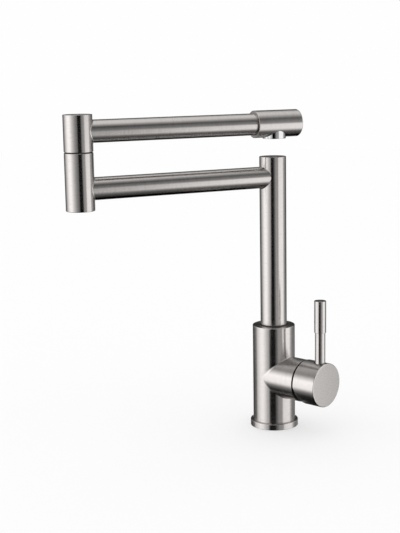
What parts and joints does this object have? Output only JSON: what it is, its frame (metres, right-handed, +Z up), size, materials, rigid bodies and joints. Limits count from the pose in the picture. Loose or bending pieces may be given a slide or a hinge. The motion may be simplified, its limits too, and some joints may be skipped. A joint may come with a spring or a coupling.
{
  "type": "kitchen faucet",
  "caption": "Folding kitchen faucet of brushed steel with a side lever, an upright riser and an elbowed double-swivel spout with an aerator.",
  "frame": {"origin": "centre of the base on the counter, on the underside of the inlet block and the deck ring", "axes": "+Z up along the riser, +X along the side branch towards the handle, the user stands at -Y"},
  "size_m": [0.1602, 0.2411, 0.3396],
  "materials": {
    "brushed_steel": "fine brushed 304 stainless steel, grain round the tubes",
    "chrome": "polished chrome",
    "brass": "turned brass",
    "copper": "drawn copper tube",
    "plain_steel": "machined steel",
    "black_rubber": "matte nitrile rubber",
    "black_plastic": "matte black acetal",
    "white_plastic": "natural white acetal",
    "ceramic": "lapped alumina"
  },
  "bodies": {
    "base": {"faucet_body": "brushed_steel", "base_ring": "brushed_steel", "base_gasket": "black_rubber", "inlet_block": "brass", "hot_supply_tube": "copper", "cold_supply_tube": "copper", "valve_block": "brass", "swivel_socket": "brass", "riser_glide_ring": "black_plastic", "cartridge_base": "white_plastic", "port_seals": "black_rubber", "fixed_ceramic_disc": "ceramic", "cartridge_housing": "white_plastic", "cartridge_nut": "brass"},
    "mixing_sleeve": {"cartridge_rotor": "white_plastic", "stem_pin": "plain_steel"},
    "handle": {"lever_stem": "plain_steel", "handle_cap": "brushed_steel", "grub_screw": "plain_steel", "lever_rod": "brushed_steel", "lever_grip": "brushed_steel"},
    "sliding_disc": {"moving_ceramic_disc": "ceramic", "disc_carrier": "white_plastic"},
    "lower_arm": {"riser_spigot": "brass", "upper_spigot_seal": "black_rubber", "lower_spigot_seal": "black_rubber", "spigot_snap_ring": "plain_steel", "riser_tube": "brushed_steel", "riser_lid": "brushed_steel", "lower_arm_tube": "brushed_steel", "lower_elbow_post": "brushed_steel", "lower_post_lid": "brushed_steel", "elbow_spindle": "brass", "lower_elbow_seal": "black_rubber", "upper_elbow_seal": "black_rubber", "elbow_snap_ring": "plain_steel", "elbow_glide_ring": "black_plastic"},
    "upper_arm": {"elbow_bush": "brass", "upper_elbow_post": "brushed_steel", "upper_post_lid": "brushed_steel", "upper_arm_tube": "brushed_steel", "spout_head": "brushed_steel", "aerator_housing": "chrome", "aerator_core": "white_plastic", "aerator_screen": "plain_steel", "aerator_washer": "black_rubber"}
  },
  "joints": [
    {"name": "riser_swivel", "type": "hinge", "parent": "base", "child": "lower_arm", "pos_m": [0, 0, 0.09], "axis": [0, 0, 1], "continuous": true},
    {"name": "elbow_swivel", "type": "hinge", "parent": "lower_arm", "child": "upper_arm", "pos_m": [-0.07599, -0.19952, 0.3034], "axis": [0, 0, 1], "continuous": true},
    {"name": "temperature_turn", "type": "hinge", "parent": "base", "child": "mixing_sleeve", "pos_m": [0.031, 0, 0.055], "axis": [1, 0, 0], "range_deg": [-45, 45]},
    {"name": "flow_tilt", "type": "hinge", "parent": "mixing_sleeve", "child": "handle", "pos_m": [0.031, 0, 0.055], "axis": [0, 1, 0], "range_deg": [0, 18]},
    {"name": "disc_slide", "type": "slide", "parent": "mixing_sleeve", "child": "sliding_disc", "axis": [0, 0, 1], "range_m": [0, 0.003]}
  ],
  "couplings": [
    {"joint": "disc_slide", "follows": "flow_tilt", "m_per_rad": 0.009147}
  ]
}
